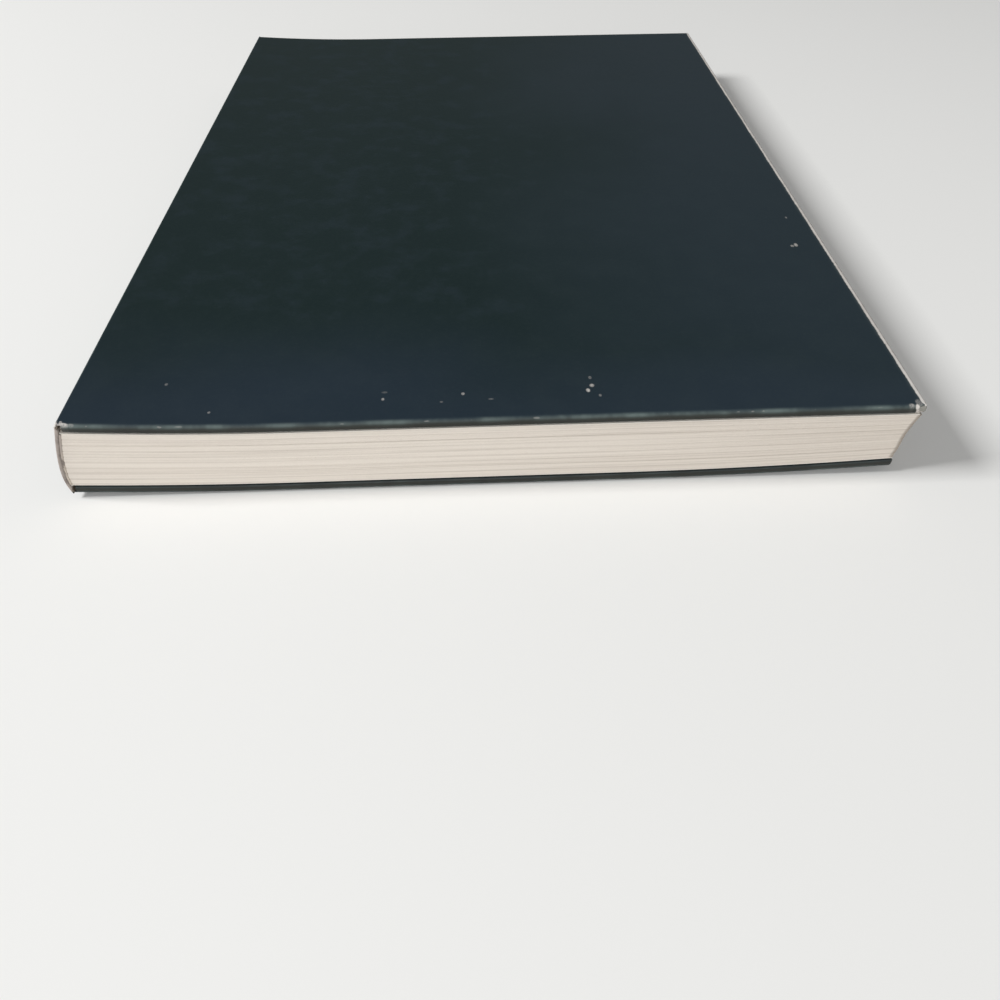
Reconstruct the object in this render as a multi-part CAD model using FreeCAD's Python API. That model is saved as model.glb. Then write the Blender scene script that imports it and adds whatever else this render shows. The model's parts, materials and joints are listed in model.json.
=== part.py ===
import FreeCAD, Part
import os
from FreeCAD import Vector

# A sewn hardcover book with thin boards, closed and lying on its back cover.
# Millimetres. +X runs from the spine to the fore-edge, +Y from the tail to the head, +Z up.
# The book has leaned with use: its back cover has slid towards the spine, the boards are
# gently warped, and the spine is rounded, so the fore-edge is hollow by the same amount.
# Drawn with X = 0 at the front hinge line and Z = 0 on the table. The last step moves the
# origin to the middle of the resting side.

# ---- covers ------------------------------------------------------------------------------
cover_width = 181.2            # hinge line to fore-edge, alike on both covers
cover_length = 257.0           # tail to head
board_thickness = 1.5          # greyboard
covering_thickness = 0.22      # laminated paper that wraps the boards and the spine
turn_in_width = 15.0           # strip of the covering glued down inside the boards
fore_edge_radius = 0.80        # rounding of the board's long outer edge
end_radius = 0.45              # rounding of the covering over the board's head and tail edges
cocking = 2.95                 # how far the back cover has slid towards the spine

# ---- pages and endpapers -----------------------------------------------------------------
leaf_width = 180.5             # spine fold to fore-edge, alike for every leaf
end_square = 0.3               # how far the covers stand past the leaves at head and tail
pages_at_spine = 14.15         # thickness of the text block, swollen by the sewing
pages_at_middle = 13.75
pages_at_fore_edge = 11.95     # pressed thinner where it is handled
gathering_count = 9            # sewn sections of sixteen leaves
fold_notch_width = 0.50        # hollow between the backs of two gatherings
fold_notch_depth = 0.35
endpaper_thickness = 0.18
endpaper_margin = 1.0          # bare strip of turn-in round the pastedown

# ---- spine -------------------------------------------------------------------------------
inlay_thickness = 0.40         # card strip that stiffens the spine
lining_thickness = 0.15        # kraft paper
lining_end_gap = 0.5           # lining short of the leaves at head and tail
mull_thickness = 0.18          # gauze that ties the text block to the boards
mull_flange_width = 28.0       # how far the gauze reaches onto each board
mull_end_gap = 2.0             # space between the gauze and the head and tail turn-ins
shoulder_overhang = 0.45       # spine beyond the front hinge line
heel_overhang = 0.20           # spine beyond the back hinge line
shoulder_radius = 0.30         # rounding of the spine into either cover
upper_bulge = 1.20             # rounding of the spine's upper and lower thirds
lower_bulge = 2.70
lower_bulge_height = 0.20      # where the two bulges pull, as shares of the spine's height
upper_bulge_height = 0.66

# ---- warp of the boards ------------------------------------------------------------------
rest_start = 50.0              # back hinge line to the flat zone that the book lies on
rest_width = 70.0
back_spine_lift = 1.25         # how far the back cover curls up at the spine and fore-edge
back_fore_lift = 1.75

# ---- clearances --------------------------------------------------------------------------
joint_width = 0.90             # hinge line to the board's spine edge
hinge_gap = 0.10               # between the covers' covering and the spine's at the hinge line
hinge_proud = 0.10             # hinge axis outside the covering
joint_clearance = 0.20         # over and under what is tucked into the joint
cover_clearance = 0.20         # between a pastedown and its flyleaf
glue_step = 0.20               # between the edge of a turn-in and the paper's step beside it

# ---- worked out --------------------------------------------------------------------------
half_length = cover_length / 2.0
half_leaf = half_length - end_square

board_out = covering_thickness                    # heights, from the covering's outer face
board_in = board_out + board_thickness
core_in = board_in + covering_thickness
raised_in = board_in + max(covering_thickness, mull_thickness)
cover_in = raised_in + endpaper_thickness
flyleaf_out = cover_in + cover_clearance
page_face = flyleaf_out + endpaper_thickness
tuck_height = board_out + joint_clearance         # where papers end inside the joint

turn_in_depth = covering_thickness + inlay_thickness      # depths, from the spine's outer face
lining_depth = turn_in_depth + covering_thickness
mull_depth = lining_depth + lining_thickness
page_depth = mull_depth + mull_thickness

back_hinge_x = -cocking
front_level = 2.0 * page_face + pages_at_middle
front_spine_lift = back_spine_lift + pages_at_spine - pages_at_middle
front_fore_lift = back_fore_lift + pages_at_fore_edge - pages_at_middle
spine_top = front_level + front_spine_lift
spine_bottom = back_spine_lift

margin = 8.0                                      # extra length of drawn curves, cut off later
spare = 1.0                                       # how far a cutting shape runs past its piece
largest_rounding = 0.48                           # share of a sheet's thickness
largest_lip_rounding = 0.8                        # share of the lip at the spine's shoulders
tolerance = 0.001


class Warp:
    """Curve of a cover's outer face: it curls at the spine, runs flat, and curls again."""

    def __init__(self, hinge_x, level, spine_lift, fore_lift):
        self.hinge_x = hinge_x
        self.fore_x = hinge_x + cover_width
        self.flat_from = back_hinge_x + rest_start
        self.flat_to = self.flat_from + rest_width
        self.level = level
        self.spine_lift = spine_lift
        self.fore_lift = fore_lift

    def z_at(self, x, height=0.0):
        """Z of the curve moved up by height."""
        lift = 0.0
        if x < self.flat_from:
            lift = self.spine_lift * ((self.flat_from - x) / (self.flat_from - self.hinge_x)) ** 2
        if x > self.flat_to:
            lift = self.fore_lift * ((x - self.flat_to) / (self.fore_x - self.flat_to)) ** 2
        return self.level + lift + height

    def edges(self, height):
        """Parabola, straight and parabola, from left to right, margins included."""
        x_left = back_hinge_x - margin
        x_right = cover_width + margin
        z_flat = self.level + height
        left = Part.BezierCurve()
        left.setPoles([Vector(x_left, 0, self.z_at(x_left, height)),
                       Vector((x_left + self.flat_from) / 2.0, 0, z_flat),
                       Vector(self.flat_from, 0, z_flat)])
        flat = Part.LineSegment(Vector(self.flat_from, 0, z_flat), Vector(self.flat_to, 0, z_flat))
        right = Part.BezierCurve()
        right.setPoles([Vector(self.flat_to, 0, z_flat),
                        Vector((self.flat_to + x_right) / 2.0, 0, z_flat),
                        Vector(x_right, 0, self.z_at(x_right, height))])
        return [left.toShape(), flat.toShape(), right.toShape()]


back = Warp(back_hinge_x, 0.0, back_spine_lift, back_fore_lift)
front = Warp(0.0, front_level, front_spine_lift, front_fore_lift)


def prism(lower_edges, upper_edges, half):
    """Solid between two open outlines in the XZ plane that both run from left to right."""
    low_left = lower_edges[0].Vertexes[0].Point
    low_right = lower_edges[-1].Vertexes[-1].Point
    up_left = upper_edges[0].Vertexes[0].Point
    up_right = upper_edges[-1].Vertexes[-1].Point
    closing = [Part.LineSegment(low_right, up_right).toShape(),
               Part.LineSegment(up_left, low_left).toShape()]
    outline = Part.Wire(Part.__sortEdges__(lower_edges + upper_edges + closing))
    face = Part.Face(outline)
    face.translate(Vector(0, -half, 0))
    return face.extrude(Vector(0, 2.0 * half, 0))


def block(x_from, x_to, half, z_from, z_to):
    """Straight box, centred on the book's length."""
    corner = Vector(x_from, -half, z_from)
    return Part.makeBox(x_to - x_from, 2.0 * half, z_to - z_from, corner)


def layer(warp, height_a, height_b, half):
    """Solid between two heights of a cover's curve, margins included."""
    low = min(height_a, height_b)
    high = max(height_a, height_b)
    return prism(warp.edges(low), warp.edges(high), half)


def sheet(warp, height_a, height_b, x_from, x_to, half):
    """Sheet between two heights of a cover's curve, rectangular in plan."""
    plan = block(x_from, x_to, half, -margin, spine_top + margin)
    return layer(warp, height_a, height_b, half).common(plan)


def edges_along_y(shape, x, z_test):
    """Straight edges parallel to Y at a given X whose Z passes the test."""
    found = []
    for edge in shape.Edges:
        ends = edge.BoundBox
        runs_along_y = ends.YLength > 1.0 and ends.XLength < tolerance and ends.ZLength < tolerance
        if runs_along_y and abs(ends.Center.x - x) < tolerance and z_test(ends.Center.z):
            found.append(edge)
    return found


def end_edges(shape, half, x_beyond):
    """Edges of the head and tail faces, apart from those at or left of x_beyond."""
    found = []
    for edge in shape.Edges:
        ends = edge.BoundBox
        at_end = ends.YLength < tolerance and abs(abs(ends.Center.y) - half) < tolerance
        if at_end and ends.XMax > x_beyond + tolerance:
            found.append(edge)
    return found


def round_fore_edge(shape, x, thickness, radius):
    """Both arrises of a sheet's fore-edge rounded."""
    radius = min(radius, largest_rounding * thickness)
    return shape.makeFillet(radius, edges_along_y(shape, x, lambda z: True))


def spine_edge(depth):
    """The spine's outer outline from heel to shoulder, moved by depth towards the fore-edge."""
    x_top = -shoulder_overhang
    x_bottom = back_hinge_x - heel_overhang
    height = spine_top - spine_bottom
    lower = lower_bulge_height
    upper = upper_bulge_height
    x_lower = x_bottom + lower * (x_top - x_bottom) - lower_bulge
    x_upper = x_bottom + upper * (x_top - x_bottom) - upper_bulge
    curve = Part.BezierCurve()
    curve.setPoles([Vector(x_bottom + depth, 0, spine_bottom),
                    Vector(x_lower + depth, 0, spine_bottom + lower * height),
                    Vector(x_upper + depth, 0, spine_bottom + upper * height),
                    Vector(x_top + depth, 0, spine_top)])
    return curve.toShape()


def spine_layer(depth_a, depth_b, half):
    """Upright layer between two depths of the spine's outline, as high as the book."""
    outer = spine_edge(depth_a)
    inner = spine_edge(depth_b)
    bottom = Part.LineSegment(outer.Vertexes[0].Point, inner.Vertexes[0].Point).toShape()
    top = Part.LineSegment(outer.Vertexes[-1].Point, inner.Vertexes[-1].Point).toShape()
    outline = Part.Wire(Part.__sortEdges__([outer, top, inner, bottom]))
    face = Part.Face(outline)
    face.translate(Vector(0, -half, 0))
    return face.extrude(Vector(0, 2.0 * half, 0))


def between_covers(height, half):
    """Space between the two covers' curves, each moved inwards by height."""
    return prism(back.edges(height), front.edges(-height), half)


# ---- the pages ---------------------------------------------------------------------------
def make_text_block():
    """All leaves in one solid: equal leaves, so the fore-edge repeats the spine's curve."""
    leaves = spine_layer(page_depth, page_depth + leaf_width, half_leaf)
    pages = leaves.common(between_covers(page_face, half_leaf))
    lowest = spine_bottom + page_face
    highest = spine_top - page_face
    reach = block(-margin - cocking, margin, half_leaf, lowest, highest)
    back_of_pages = spine_edge(page_depth).common(reach)
    folds = back_of_pages.Edges[0].discretize(Number=gathering_count + 1)
    notches = []
    for fold in folds[1:-1]:
        corners = [Vector(fold.x - fold_notch_depth, -half_leaf, fold.z + fold_notch_width),
                   Vector(fold.x - fold_notch_depth, -half_leaf, fold.z - fold_notch_width),
                   Vector(fold.x + fold_notch_depth, -half_leaf, fold.z)]
        outline = Part.Face(Part.makePolygon(corners + corners[:1]))
        notches.append(outline.extrude(Vector(0, 2.0 * half_leaf, 0)))
    return pages.cut(Part.makeCompound(notches))


def make_flyleaf(warp, inward):
    """Free half of an endpaper: it lies on the pages and turns up into the joint."""
    whole = spine_layer(lining_depth, page_depth + leaf_width, half_leaf)
    upright = spine_layer(lining_depth, lining_depth + endpaper_thickness, half_leaf)
    flat = layer(warp, inward * flyleaf_out, inward * page_face, half_leaf)
    fold = layer(warp, inward * tuck_height, inward * page_face, half_leaf)
    return whole.common(flat).fuse(upright.common(fold)).removeSplitter()


# ---- a cover -----------------------------------------------------------------------------
# Heights are counted from the covering's outer face towards the pages: inward is +1 for the
# back cover, which lies under them, and -1 for the front cover.

def make_board(warp, inward):
    """Greyboard, cut square at head and tail and rounded along its fore-edge."""
    fore_x = warp.fore_x - covering_thickness
    shape = sheet(warp, inward * board_out, inward * board_in,
                  warp.hinge_x + joint_width, fore_x, half_length - covering_thickness)
    return round_fore_edge(shape, fore_x, board_thickness, fore_edge_radius)


def make_covering(warp, inward, board):
    """Paper round the board: outer face, three wrapped edges and their turn-ins."""
    start_x = warp.hinge_x + hinge_gap / 2.0
    board_x = warp.hinge_x + joint_width
    wrapped = sheet(warp, 0.0, inward * core_in, start_x, warp.fore_x, half_length)
    wrapped = round_fore_edge(wrapped, warp.fore_x, core_in,
                              fore_edge_radius + covering_thickness)
    wrapped = wrapped.makeFillet(end_radius, end_edges(wrapped, half_length, start_x))
    beyond = inward * (core_in + spare)
    joint = sheet(warp, inward * board_out, beyond, start_x - spare, board_x,
                  half_length + spare)
    inside_board = inward * (board_out + board_in) / 2.0
    window = sheet(warp, inside_board, beyond, board_x, warp.fore_x - turn_in_width,
                   half_length - turn_in_width)
    return wrapped.cut(board).cut(joint).cut(window)


def make_mull_flange(warp, inward):
    """Gauze glued to the board under the pastedown, short of the turn-ins."""
    start_x = warp.hinge_x + joint_width
    return sheet(warp, inward * board_in, inward * (board_in + mull_thickness),
                 start_x, start_x + mull_flange_width,
                 half_length - turn_in_width - mull_end_gap)


def make_pastedown(warp, inward):
    """Glued half of an endpaper: it steps over the turn-ins and the gauze, and into the joint."""
    board_x = warp.hinge_x + joint_width
    fore_x = warp.fore_x - fore_edge_radius - covering_thickness
    half = half_length - endpaper_margin
    raised = sheet(warp, inward * raised_in, inward * cover_in,
                   board_x - endpaper_thickness, fore_x, half)
    fold = sheet(warp, inward * tuck_height, inward * cover_in,
                 board_x - endpaper_thickness, board_x, half)
    step_from = board_x + mull_flange_width + glue_step
    step_to = warp.fore_x - turn_in_width - glue_step
    step_half = half_length - turn_in_width - glue_step
    sunken = sheet(warp, inward * board_in, inward * cover_in, step_from, step_to, step_half)
    hollow = sheet(warp, inward * (board_in + endpaper_thickness), inward * (cover_in + spare),
                   step_from + endpaper_thickness, step_to - endpaper_thickness,
                   step_half - endpaper_thickness)
    return raised.fuse([fold, sunken]).cut(hollow).removeSplitter()


# ---- the spine ---------------------------------------------------------------------------
def make_spine_lining():
    """Kraft paper over the gauze."""
    strip = spine_layer(lining_depth, mull_depth, half_leaf - lining_end_gap)
    return strip.common(between_covers(page_face, half_length))


def make_spine_mull():
    """Gauze glued to the folded backs of the gatherings."""
    strip = spine_layer(mull_depth, page_depth, half_length - turn_in_width - mull_end_gap)
    return strip.common(between_covers(page_face, half_length))


def make_spine_inlay():
    """Card strip inside the spine's covering."""
    strip = spine_layer(covering_thickness, turn_in_depth, half_length - covering_thickness)
    return strip.common(block(-margin, margin, half_length,
                              spine_bottom + tuck_height, spine_top - tuck_height))


def make_spine_covering(inlay):
    """Paper round the inlay, lipped to both hinge lines and turned in at head and tail."""
    wrapped = spine_layer(0.0, lining_depth, half_length)
    top_lip = block(-shoulder_overhang, -hinge_gap / 2.0, half_length,
                    spine_top - covering_thickness, spine_top)
    bottom_lip = block(back_hinge_x - heel_overhang, back_hinge_x - hinge_gap / 2.0, half_length,
                       spine_bottom, spine_bottom + covering_thickness)
    solid = wrapped.fuse([top_lip, bottom_lip]).removeSplitter()
    under_front = block(-hinge_gap / 2.0, margin, half_length,
                        spine_top - tuck_height, spine_top + spare)
    over_back = block(back_hinge_x - hinge_gap / 2.0, margin, half_length,
                      spine_bottom - spare, spine_bottom + tuck_height)
    solid = solid.cut(under_front).cut(over_back)
    corners = edges_along_y(solid, -shoulder_overhang, lambda z: z > spine_top - tolerance)
    corners += edges_along_y(solid, back_hinge_x - heel_overhang,
                             lambda z: z < spine_bottom + tolerance)
    lip = min(shoulder_overhang, heel_overhang) - hinge_gap / 2.0
    solid = solid.makeFillet(min(shoulder_radius, largest_lip_rounding * lip), corners)
    behind_turn_in = spine_layer(turn_in_depth, lining_depth + spare,
                                 half_length - turn_in_width)
    return solid.cut(inlay).cut(behind_turn_in)


# ---- assembly ----------------------------------------------------------------------------
def make_book():
    """Every piece by name, in the drawing's own frame."""
    pieces = {"text_block": make_text_block(),
              "spine_mull": make_spine_mull(),
              "spine_lining": make_spine_lining(),
              "spine_inlay": make_spine_inlay()}
    pieces["spine_covering"] = make_spine_covering(pieces["spine_inlay"])
    for side, warp, inward in (("back", back, 1), ("front", front, -1)):
        board = make_board(warp, inward)
        pieces[side + "_board"] = board
        pieces[side + "_covering"] = make_covering(warp, inward, board)
        pieces[side + "_mull_flange"] = make_mull_flange(warp, inward)
        pieces[side + "_pastedown"] = make_pastedown(warp, inward)
        pieces[side + "_flyleaf"] = make_flyleaf(warp, inward)
    return pieces


def resting_origin(pieces):
    """Middle of the book's bounding box in plan, on the table."""
    box = Part.makeCompound(list(pieces.values())).optimalBoundingBox(False)
    return Vector(box.Center.x, box.Center.y, box.ZMin)


os.makedirs("parts", exist_ok=True)
book = make_book()
origin = resting_origin(book)
for name, shape in book.items():
    placed = shape.copy()
    placed.translate(-origin)
    placed.exportStep("parts/" + name + ".step")
    print(name, "solids", len(placed.Solids), "valid", placed.isValid(),
          "volume %.1f" % placed.Volume)

rest_x = back.flat_from + rest_width / 2.0
print("front hinge", Vector(0, 0, spine_top + hinge_proud) - origin)
print("back hinge", Vector(back_hinge_x, 0, spine_bottom - hinge_proud) - origin)
print("rest face centre", Vector(rest_x, 0, 0) - origin)
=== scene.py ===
import json
import math

import bmesh
import bpy
import numpy as np
from bpy.props import FloatProperty, FloatVectorProperty, IntProperty, PointerProperty
from mathutils import Matrix, Vector


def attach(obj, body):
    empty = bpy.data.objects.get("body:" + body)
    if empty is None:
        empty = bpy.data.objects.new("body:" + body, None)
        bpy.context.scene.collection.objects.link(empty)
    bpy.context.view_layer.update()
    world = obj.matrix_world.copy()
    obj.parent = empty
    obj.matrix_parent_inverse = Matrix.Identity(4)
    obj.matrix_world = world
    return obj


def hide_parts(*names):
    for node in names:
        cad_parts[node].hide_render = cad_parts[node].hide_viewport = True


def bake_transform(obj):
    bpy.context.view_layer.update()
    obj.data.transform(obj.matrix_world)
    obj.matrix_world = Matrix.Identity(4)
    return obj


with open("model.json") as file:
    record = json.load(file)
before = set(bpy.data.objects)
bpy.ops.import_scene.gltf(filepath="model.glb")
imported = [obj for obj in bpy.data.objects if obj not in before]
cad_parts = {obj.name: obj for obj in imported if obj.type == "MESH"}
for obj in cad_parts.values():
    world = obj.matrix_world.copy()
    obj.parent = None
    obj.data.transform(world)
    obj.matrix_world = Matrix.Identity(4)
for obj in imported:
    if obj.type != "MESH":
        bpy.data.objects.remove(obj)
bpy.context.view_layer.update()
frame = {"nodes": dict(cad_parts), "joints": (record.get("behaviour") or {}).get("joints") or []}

bl_info = {
    "name": "Hardcover book",
    "version": (1, 0, 0),
    "blender": (4, 5, 0),
    "location": "3D View > Sidebar > Book",
    "description": "Builds the visible pieces of a worn, sewn hardcover book on its packed frame",
    "category": "Object",
}

MM = 0.001
JOINTS = {joint["name"]: joint["pos_m"] for joint in frame["joints"]}
FRONT_HINGE = JOINTS["front_cover_hinge"]
BACK_HINGE = JOINTS["back_cover_hinge"]
SIDES = ("front", "back")

MERGE = 0.002 * MM              # points closer than this are one
FLAT_INSET = 3.0 * MM           # a cover's edge to the flat part inside it
PAPER_LAP = 0.15 * MM           # the covering's start, short of the board's edge
GLUE_GAP = 0.02 * MM            # room for glue behind a pasted sheet
JOINT_STRIP = (-0.10, 0.30)     # paper over a joint, in millimetres from its hinge line
FRAY = 1.3 * MM                 # reach of the wear at the tail of a joint
FOLD_LINE = -2.0 * MM           # where the lowest leaves' folds lie


# ---- what a user can change --------------------------------------------------------------
def length(name, millimetres, description):
    """A size, given in millimetres and kept in metres."""
    return FloatProperty(name=name, description=description, default=millimetres * MM,
                         unit="LENGTH", precision=5)


def linear(level):
    """A screen level from 0 to 255 as the linear value that Blender keeps."""
    share = level / 255.0
    return share / 12.92 if share <= 0.04045 else ((share + 0.055) / 1.055) ** 2.4


def tint(name, red, green, blue, description):
    """A colour, given in screen levels."""
    return FloatVectorProperty(name=name, description=description, subtype="COLOR", size=3,
                               min=0.0, max=1.0, default=[linear(c) for c in (red, green, blue)])


class BookSizes(bpy.types.PropertyGroup):
    """Sizes of the book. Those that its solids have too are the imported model's."""
    cover_width: length("Cover width", 181.2, "Hinge line to fore-edge")
    cover_length: length("Cover length", 257.0, "Tail to head")
    board_thickness: length("Board thickness", 1.5, "Greyboard in each cover")
    covering_thickness: length("Covering thickness", 0.22, "Paper round boards and spine")
    turn_in_width: length("Turn-in width", 15.0, "Covering glued down inside the boards")
    fore_edge_run: length("Fore-edge run", 0.90, "Rounding of the long edge, seen from above")
    fore_edge_drop: length("Fore-edge drop", 0.74, "The same rounding, seen from the end")
    end_radius: length("End radius", 0.88, "Rounding of the covers' head and tail edges")
    corner_radius: length("Corner radius", 0.70, "Bluntness of the covers' corners in plan")
    edge_wobble: length("Edge wobble", 0.045, "How far the covers' edges wander with wear")
    leaf_width: length("Leaf width", 180.5, "Spine fold to fore-edge")
    end_square: length("Square", 0.3, "Covers beyond the leaves at head and tail")
    pages_at_spine: length("Pages at spine", 14.15, "Thickness of all leaves at the spine")
    pages_at_middle: length("Pages at middle", 13.75, "Thickness of all leaves in the middle")
    pages_at_fore_edge: length("Pages at fore-edge", 11.95, "Thickness at the fore-edge")
    fold_depth: length("Fold depth", 0.30, "Hollow between the backs of two gatherings")
    endpaper_thickness: length("Endpaper thickness", 0.18, "Plain folded paper at each cover")
    endpaper_margin: length("Endpaper margin", 1.0, "Bare turn-in round the pastedown")
    inlay_thickness: length("Inlay thickness", 0.40, "Card inside the spine")
    lining_thickness: length("Lining thickness", 0.15, "Kraft paper on the gauze")
    gauze_thickness: length("Gauze thickness", 0.18, "Cloth that ties pages to boards")
    gauze_width: length("Gauze width", 28.0, "Gauze on each board")
    gauze_gap: length("Gauze gap", 2.0, "Gauze short of the turn-ins")
    shoulder_overhang: length("Shoulder overhang", 0.45, "Spine beyond the front hinge line")
    heel_overhang: length("Heel overhang", 0.20, "Spine beyond the back hinge line")
    upper_bulge: length("Upper bulge", 1.20, "Rounding of the spine's upper part")
    lower_bulge: length("Lower bulge", 2.70, "Rounding of the spine's lower part")
    rest_start: length("Rest start", 50.0, "Back hinge line to the zone it lies on")
    rest_width: length("Rest width", 70.0, "Width of the zone it lies on")
    back_spine_lift: length("Spine lift", 1.25, "Back cover's curl at the spine")
    back_fore_lift: length("Fore-edge lift", 1.75, "Back cover's curl at the fore-edge")
    joint_width: length("Joint width", 0.90, "Hinge line to the board's edge")
    joint_clearance: length("Joint clearance", 0.20, "Space over what is tucked in")
    cover_clearance: length("Cover clearance", 0.20, "Pastedown to flyleaf")
    trim: length("Trim unevenness", 0.05, "How far leaf edges are out of line")
    fore_edge_bulge: length("Fore-edge bulge", 0.55, "Leaves pushed out where it is thumbed")
    wave: length("Leaf wave", 0.18, "How far the leaves wander up and down")
    gatherings: IntProperty(name="Gatherings", description="Sewn sections", default=9, min=2)
    leaves: IntProperty(name="Leaves in a gathering", description="Leaves in each sewn section",
                        default=16, min=4)
    seed: IntProperty(name="Seed", description="Seed of everything random", default=7)


class BookColours(bpy.types.PropertyGroup):
    """Colours of the book, as they look in plain white light."""
    covering: tint("Covering", 19, 35, 36, "Blue-black laminated paper")
    covering_blue: tint("Covering, blue", 33, 45, 56, "Bluer patches of the covering")
    # Covering, side: a painted reflection of the cream pages and floor on the covers' side faces
    side_reflection: tint("Covering, side", 50, 50, 44, "Handled sides of the covers")
    # Rubbed: worn covering whose grey-green also serves as a painted highlight on the lit edges
    rubbed_and_highlit: tint("Rubbed", 96, 108, 106, "Covering where its print is thin")
    bare_paper: tint("Bare paper", 222, 219, 214, "Core of the covering's paper")
    soiled_paper: tint("Soiled paper", 164, 154, 147, "Bare paper that is grey with handling")
    grime: tint("Grime", 104, 96, 92, "Ingrained dirt on the spine's ends")
    pages: tint("Pages", 231, 223, 213, "Uncoated cream paper")
    # Pages, dusty: dust and painted shade between the gatherings
    pages_dust_and_shade: tint("Pages, dusty", 178, 167, 156, "Dust between the gatherings")
    # Pages, thumbed: brown painted shade on the leaves' fore-edge
    thumbed: tint("Pages, thumbed", 150, 140, 130, "Fore-edge that is brown with handling")
    endpaper: tint("Endpaper", 232, 227, 218, "Plain off-white paper")
    board: tint("Board", 150, 149, 142, "Raw greyboard")
    card: tint("Card", 122, 112, 100, "Spine inlay")
    kraft: tint("Kraft", 176, 150, 122, "Spine lining")
    gauze: tint("Gauze", 206, 196, 174, "Cotton gauze with dried glue")
    glue: tint("Glue", 192, 181, 168, "Aged glue on the backs of the gatherings")
    floor: tint("Floor", 236, 236, 234, "Plain pale floor")


# ---- node trees --------------------------------------------------------------------------
class Wire:
    """An output socket. Arithmetic on it adds Math nodes to its tree."""

    def __init__(self, graph, socket):
        self.graph = graph
        self.socket = socket

    def __add__(self, other):
        return self.graph.math("ADD", self, other)

    def __sub__(self, other):
        return self.graph.math("SUBTRACT", self, other)

    def __rsub__(self, other):
        return self.graph.math("SUBTRACT", other, self)

    def __mul__(self, other):
        return self.graph.math("MULTIPLY", self, other)

    def __truediv__(self, other):
        return self.graph.math("DIVIDE", self, other)

    def __pow__(self, other):
        return self.graph.math("POWER", self, other)

    __radd__ = __add__
    __rmul__ = __mul__


class Graph:
    """A node tree that is filled by calls and by arithmetic on its wires."""

    def __init__(self, tree):
        self.tree = tree

    @staticmethod
    def find(sockets, key):
        """A socket by its number, or the first one in use with that name."""
        if isinstance(key, int):
            return sockets[key]
        return [socket for socket in sockets if socket.name == key and socket.enabled][0]

    def add(self, kind, settings=None, values=None, out=0):
        """Adds a node: its settings come first, then the values or wires of its sockets."""
        node = self.tree.nodes.new(kind)
        for name, value in (settings or {}).items():
            setattr(node, name, value)
        for key, value in (values or {}).items():
            socket = self.find(node.inputs, key)
            if isinstance(value, Wire):
                self.tree.links.new(value.socket, socket)
            else:
                socket.default_value = value
        return Wire(self, self.find(node.outputs, out)) if node.outputs else node

    def math(self, operation, *values, clamp=False):
        """A Math node on one to three values."""
        return self.add("ShaderNodeMath", {"operation": operation, "use_clamp": clamp},
                        dict(enumerate(values)))

    def ramp(self, value, low, high):
        """0 below low and 1 above high, with a smooth rise between."""
        return self.add("ShaderNodeMapRange", {"interpolation_type": "SMOOTHSTEP"},
                        {"Value": value, "From Min": low, "From Max": high})

    def clamp(self, value):
        """The value, kept between 0 and 1."""
        return self.math("MULTIPLY", value, 1.0, clamp=True)

    def mix(self, share, first, second):
        """Colour that goes from the first to the second."""
        ends = [end if isinstance(end, Wire) else (*end, 1.0) for end in (first, second)]
        return self.add("ShaderNodeMix", {"data_type": "RGBA"},
                        {0: share, 6: ends[0], 7: ends[1]}, out=2)

    def attribute(self, name):
        """A number that is stored on the mesh."""
        return self.add("ShaderNodeAttribute", {"attribute_name": name}, out="Fac")

    def noise(self, vector, scale, detail=2.0, roughness=0.5):
        """Smooth noise from 0 to 1."""
        return self.add("ShaderNodeTexNoise", None,
                        {"Vector": vector, "Scale": scale, "Detail": detail,
                         "Roughness": roughness})

    def stretch(self, vector, x, y, z):
        """The vector with each axis scaled."""
        return self.add("ShaderNodeVectorMath", {"operation": "MULTIPLY"},
                        {0: vector, 1: (x, y, z)})

    def split(self, vector):
        """X, Y and Z of a vector."""
        first = self.add("ShaderNodeSeparateXYZ", None, {0: vector})
        return [Wire(self, socket) for socket in first.socket.node.outputs]

    def join(self, x, y, z):
        """A vector from three values."""
        return self.add("ShaderNodeCombineXYZ", None, {0: x, 1: y, 2: z})


def new_material(name, paint, specular=0.5):
    """A material. paint gets a graph and the object coordinates, and returns the colour,
    the roughness, the bump's height and the bump's distance."""
    material = bpy.data.materials.new(name)
    material.use_nodes = True
    material.node_tree.nodes.clear()
    graph = Graph(material.node_tree)
    place = graph.add("ShaderNodeTexCoord", out="Object")
    colour, roughness, height, distance = paint(graph, place)
    bump = graph.add("ShaderNodeBump", None,
                     {"Strength": 1.0, "Distance": distance, "Height": height})
    surface = graph.add("ShaderNodeBsdfPrincipled", None,
                        {"Base Color": colour, "Roughness": roughness, "Normal": bump,
                         "Specular IOR Level": specular})
    graph.add("ShaderNodeOutputMaterial", None, {"Surface": surface})
    return material


def mark(graph, x, y, spot, rough):
    """1 inside a small ragged spot and 0 outside. A spot starts with its place and its two
    half-sizes."""
    centre_x, centre_y, a, b = spot[:4]
    reach = ((x - centre_x) / a) ** 2.0 + ((y - centre_y) / b) ** 2.0
    return 1.0 - graph.ramp(reach + rough, 0.4, 2.2)


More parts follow.
